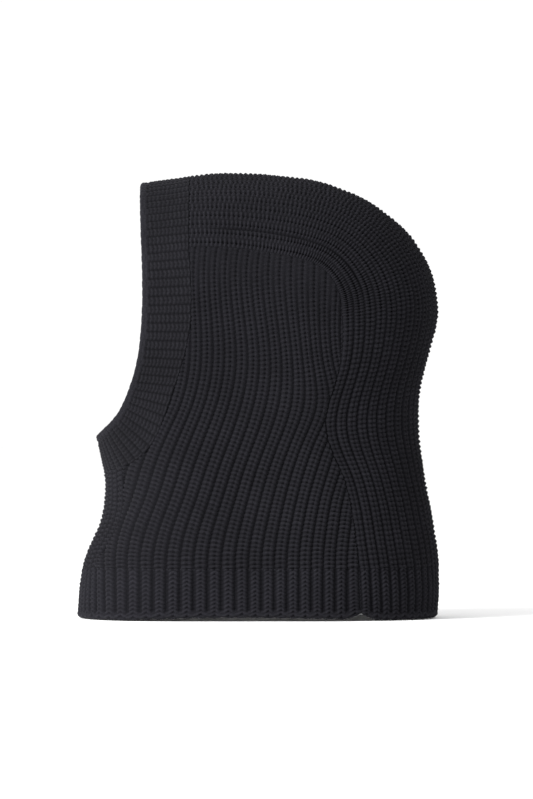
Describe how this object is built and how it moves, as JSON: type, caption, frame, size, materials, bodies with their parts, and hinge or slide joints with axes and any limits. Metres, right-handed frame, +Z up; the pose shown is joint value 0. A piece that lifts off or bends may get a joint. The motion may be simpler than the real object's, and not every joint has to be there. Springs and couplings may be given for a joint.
{
  "type": "balaclava",
  "caption": "Chunky rib-knit wool balaclava hood with a shaped crown and back panel, a wide ribbed band round the open face, and a flared neck with a ribbed hem.",
  "frame": {"origin": "centre of the hem's footprint, on the surface that the hem stands on", "axes": "+Z up, the face opening looks along -Y, +X is the wearer's left; the hood is symmetric about the YZ plane apart from the care label"},
  "size_m": [0.2, 0.2975, 0.3655],
  "materials": {
    "panel_knit": "matt half-cardigan wool knit, charcoal black",
    "band_knit": "matt ribbed wool knit, charcoal black",
    "hem_knit": "matt 1x1 rib wool knit, charcoal black",
    "linking_yarn": "matt wool yarn, charcoal black",
    "label_tape": "blank black satin tape",
    "label_thread": "black sewing thread"
  },
  "bodies": {
    "hood": {"crown_back_panel": "panel_knit", "side_panel_left": "panel_knit", "side_panel_right": "panel_knit", "front_neck_panel": "panel_knit", "face_band": "band_knit", "hem_rib_front": "hem_knit", "hem_rib_back": "hem_knit", "band_seam_thread": "linking_yarn", "chin_seam_thread": "linking_yarn", "crown_seam_thread_left": "linking_yarn", "crown_seam_thread_right": "linking_yarn", "neck_seam_thread_left": "linking_yarn", "neck_seam_thread_right": "linking_yarn", "hem_seam_thread_front": "linking_yarn", "hem_seam_thread_back": "linking_yarn", "side_seam_thread_left": "linking_yarn", "side_seam_thread_right": "linking_yarn"},
    "neck_label_flap": {"neck_label": "label_tape", "neck_label_stitches": "label_thread"},
    "care_label_flap": {"care_label": "label_tape", "care_label_stitches": "label_thread"}
  },
  "joints": [
    {"name": "neck_label_swing", "type": "hinge", "parent": "hood", "child": "neck_label_flap", "pos_m": [0, 0.1226, 0.156], "axis": [-1, 0, 0], "range_deg": [-6, 150]},
    {"name": "care_label_swing", "type": "hinge", "parent": "hood", "child": "care_label_flap", "pos_m": [0.0706, 0.075, 0.072], "axis": [0, 0, -1], "range_deg": [-4, 110]}
  ]
}
